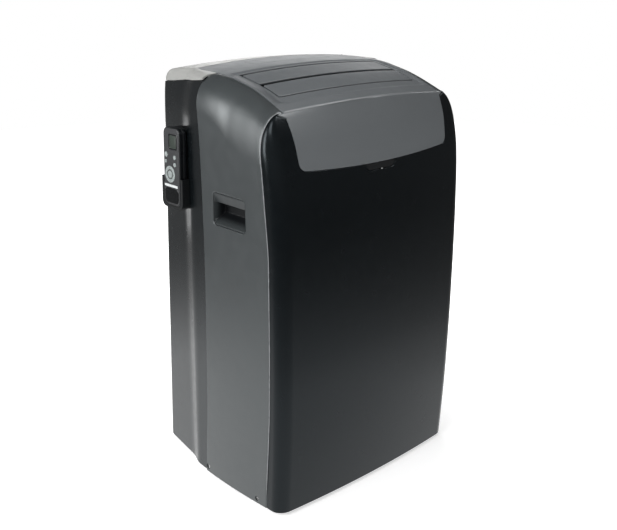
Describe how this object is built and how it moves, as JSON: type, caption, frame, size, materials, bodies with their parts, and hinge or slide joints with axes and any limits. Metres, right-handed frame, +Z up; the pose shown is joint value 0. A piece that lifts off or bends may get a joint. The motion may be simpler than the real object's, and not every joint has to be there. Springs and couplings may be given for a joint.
{
  "type": "portable air conditioner",
  "caption": "Upright portable air conditioner on swivel casters, with outlet flaps on top, a tapered front fascia, side grips, rear filters, a hose collar and a remote control in a side cradle.",
  "frame": {"origin": "centre of the bounding box at floor level", "axes": "+Z up, front faces -Y, +X to the right seen from the front"},
  "size_m": [0.4678, 0.414, 0.776],
  "materials": {
    "black_plastic": "satin black moulded plastic",
    "grey_plastic": "satin mid-grey moulded plastic",
    "cap_plastic": "satin light-grey moulded plastic",
    "dark_plastic": "fine-textured near-black plastic",
    "window": "glossy black signal window",
    "white_plastic": "light moulded plastic",
    "key_plastic": "light grey keys",
    "display": "liquid crystal display behind clear cover",
    "fins": "fin pack",
    "copper": "copper tube",
    "motor_steel": "zinc-plated motor can",
    "compressor_paint": "black painted steel",
    "zinc": "zinc-plated steel",
    "board": "circuit board",
    "tyre_rubber": "caster tread"
  },
  "bodies": {
    "cabinet": {"front_panel": "black_plastic", "fascia_panel": "grey_plastic", "left_side_shell": "grey_plastic", "right_side_shell": "grey_plastic", "top_cover": "grey_plastic", "control_panel": "grey_plastic", "rear_housing": "grey_plastic", "rear_cap": "cap_plastic", "signal_window": "window", "left_grip_cup": "dark_plastic", "right_grip_cup": "dark_plastic", "outlet_duct": "dark_plastic", "exhaust_collar": "dark_plastic", "cord_gland": "dark_plastic", "remote_cradle": "dark_plastic", "base_pan": "dark_plastic", "swing_motor": "white_plastic", "evaporator_scroll": "white_plastic", "condenser_scroll": "white_plastic", "drain_tray": "white_plastic", "evaporator_coil": "fins", "condenser_coil": "fins", "discharge_pipe": "copper", "suction_pipe": "copper", "evaporator_motor": "motor_steel", "condenser_motor": "motor_steel", "compressor": "compressor_paint", "suction_accumulator": "compressor_paint", "electrical_box": "zinc", "left_front_screw": "zinc", "left_rear_screw": "zinc", "right_front_screw": "zinc", "right_rear_screw": "zinc", "control_board": "board"},
    "front_flap": {"front_flap": "grey_plastic"},
    "rear_flap": {"rear_flap": "grey_plastic"},
    "upper_filter": {"upper_filter": "grey_plastic"},
    "lower_filter": {"lower_filter": "grey_plastic"},
    "evaporator_wheel": {"evaporator_wheel": "dark_plastic"},
    "condenser_wheel": {"condenser_wheel": "dark_plastic"},
    "drain_plug": {"drain_plug": "dark_plastic"},
    "remote": {"remote_body": "grey_plastic", "remote_display": "display"},
    "remote_power_key": {"remote_power_key": "key_plastic"},
    "remote_key_1": {"remote_key_1": "key_plastic"},
    "remote_key_2": {"remote_key_2": "key_plastic"},
    "remote_key_3": {"remote_key_3": "key_plastic"},
    "remote_dial_pad": {"remote_dial_pad": "key_plastic"},
    "vane_1": {"outlet_vane_1": "dark_plastic"},
    "vane_2": {"outlet_vane_2": "dark_plastic"},
    "vane_3": {"outlet_vane_3": "dark_plastic"},
    "vane_4": {"outlet_vane_4": "dark_plastic"},
    "fork_front_left": {"caster_fork_front_left": "zinc"},
    "wheel_front_left": {"caster_wheel_front_left": "tyre_rubber"},
    "fork_front_right": {"caster_fork_front_right": "zinc"},
    "wheel_front_right": {"caster_wheel_front_right": "tyre_rubber"},
    "fork_rear_left": {"caster_fork_rear_left": "zinc"},
    "wheel_rear_left": {"caster_wheel_rear_left": "tyre_rubber"},
    "fork_rear_right": {"caster_fork_rear_right": "zinc"},
    "wheel_rear_right": {"caster_wheel_rear_right": "tyre_rubber"}
  },
  "joints": [
    {"name": "rear_flap_hinge", "type": "hinge", "parent": "cabinet", "child": "rear_flap", "pos_m": [0, -0.044, 0.75136], "axis": [-1, 0, 0], "range_deg": [0, 60]},
    {"name": "front_flap_hinge", "type": "hinge", "parent": "cabinet", "child": "front_flap", "pos_m": [0, -0.096, 0.73833], "axis": [-1, 0, 0], "range_deg": [0, 60]},
    {"name": "vane_1_hinge", "type": "hinge", "parent": "cabinet", "child": "vane_1", "pos_m": [-0.099, 0, 0.665], "axis": [0, 1, 0], "range_deg": [-30, 30]},
    {"name": "vane_2_hinge", "type": "hinge", "parent": "cabinet", "child": "vane_2", "pos_m": [-0.033, 0, 0.665], "axis": [0, 1, 0], "range_deg": [-30, 30]},
    {"name": "vane_3_hinge", "type": "hinge", "parent": "cabinet", "child": "vane_3", "pos_m": [0.033, 0, 0.665], "axis": [0, 1, 0], "range_deg": [-30, 30]},
    {"name": "vane_4_hinge", "type": "hinge", "parent": "cabinet", "child": "vane_4", "pos_m": [0.099, 0, 0.665], "axis": [0, 1, 0], "range_deg": [-30, 30]},
    {"name": "upper_filter_slide", "type": "slide", "parent": "cabinet", "child": "upper_filter", "axis": [0, 1, 0], "range_m": [0, 0.06]},
    {"name": "lower_filter_slide", "type": "slide", "parent": "cabinet", "child": "lower_filter", "axis": [0, 1, 0], "range_m": [0, 0.06]},
    {"name": "evaporator_wheel_spin", "type": "hinge", "parent": "cabinet", "child": "evaporator_wheel", "pos_m": [0, 0, 0.552], "axis": [0, 1, 0], "continuous": true},
    {"name": "condenser_wheel_spin", "type": "hinge", "parent": "cabinet", "child": "condenser_wheel", "pos_m": [0, 0, 0.232], "axis": [0, 1, 0], "continuous": true},
    {"name": "drain_plug_slide", "type": "slide", "parent": "cabinet", "child": "drain_plug", "axis": [0, 1, 0], "range_m": [0, 0.03]},
    {"name": "remote_lift", "type": "slide", "parent": "cabinet", "child": "remote", "axis": [0.0328, 0, 0.9995], "range_m": [0, 0.15]},
    {"name": "remote_power_key_press", "type": "slide", "parent": "remote", "child": "remote_power_key", "axis": [0.9995, 0, -0.0328], "range_m": [0, 0.0008], "stiffness_N_per_m": 600},
    {"name": "remote_key_1_press", "type": "slide", "parent": "remote", "child": "remote_key_1", "axis": [0.9995, 0, -0.0328], "range_m": [0, 0.0008], "stiffness_N_per_m": 600},
    {"name": "remote_key_2_press", "type": "slide", "parent": "remote", "child": "remote_key_2", "axis": [0.9995, 0, -0.0328], "range_m": [0, 0.0008], "stiffness_N_per_m": 600},
    {"name": "remote_key_3_press", "type": "slide", "parent": "remote", "child": "remote_key_3", "axis": [0.9995, 0, -0.0328], "range_m": [0, 0.0008], "stiffness_N_per_m": 600},
    {"name": "remote_dial_pad_press", "type": "slide", "parent": "remote", "child": "remote_dial_pad", "axis": [0.9995, 0, -0.0328], "range_m": [0, 0.0008], "stiffness_N_per_m": 600},
    {"name": "swivel_front_left", "type": "hinge", "parent": "cabinet", "child": "fork_front_left", "pos_m": [-0.165, -0.122, 0.05], "axis": [0, 0, 1], "continuous": true},
    {"name": "roll_front_left", "type": "hinge", "parent": "fork_front_left", "child": "wheel_front_left", "pos_m": [-0.165, -0.11, 0.02], "axis": [1, 0, 0], "continuous": true},
    {"name": "swivel_front_right", "type": "hinge", "parent": "cabinet", "child": "fork_front_right", "pos_m": [0.165, -0.122, 0.05], "axis": [0, 0, 1], "continuous": true},
    {"name": "roll_front_right", "type": "hinge", "parent": "fork_front_right", "child": "wheel_front_right", "pos_m": [0.165, -0.11, 0.02], "axis": [1, 0, 0], "continuous": true},
    {"name": "swivel_rear_left", "type": "hinge", "parent": "cabinet", "child": "fork_rear_left", "pos_m": [-0.146, 0.14, 0.05], "axis": [0, 0, 1], "continuous": true},
    {"name": "roll_rear_left", "type": "hinge", "parent": "fork_rear_left", "child": "wheel_rear_left", "pos_m": [-0.146, 0.152, 0.02], "axis": [1, 0, 0], "continuous": true},
    {"name": "swivel_rear_right", "type": "hinge", "parent": "cabinet", "child": "fork_rear_right", "pos_m": [0.146, 0.14, 0.05], "axis": [0, 0, 1], "continuous": true},
    {"name": "roll_rear_right", "type": "hinge", "parent": "fork_rear_right", "child": "wheel_rear_right", "pos_m": [0.146, 0.152, 0.02], "axis": [1, 0, 0], "continuous": true}
  ],
  "couplings": [
    {"joint": "front_flap_hinge", "follows": "rear_flap_hinge", "ratio": 1},
    {"joint": "vane_2_hinge", "follows": "vane_1_hinge", "ratio": 1},
    {"joint": "vane_3_hinge", "follows": "vane_1_hinge", "ratio": 1},
    {"joint": "vane_4_hinge", "follows": "vane_1_hinge", "ratio": 1}
  ]
}
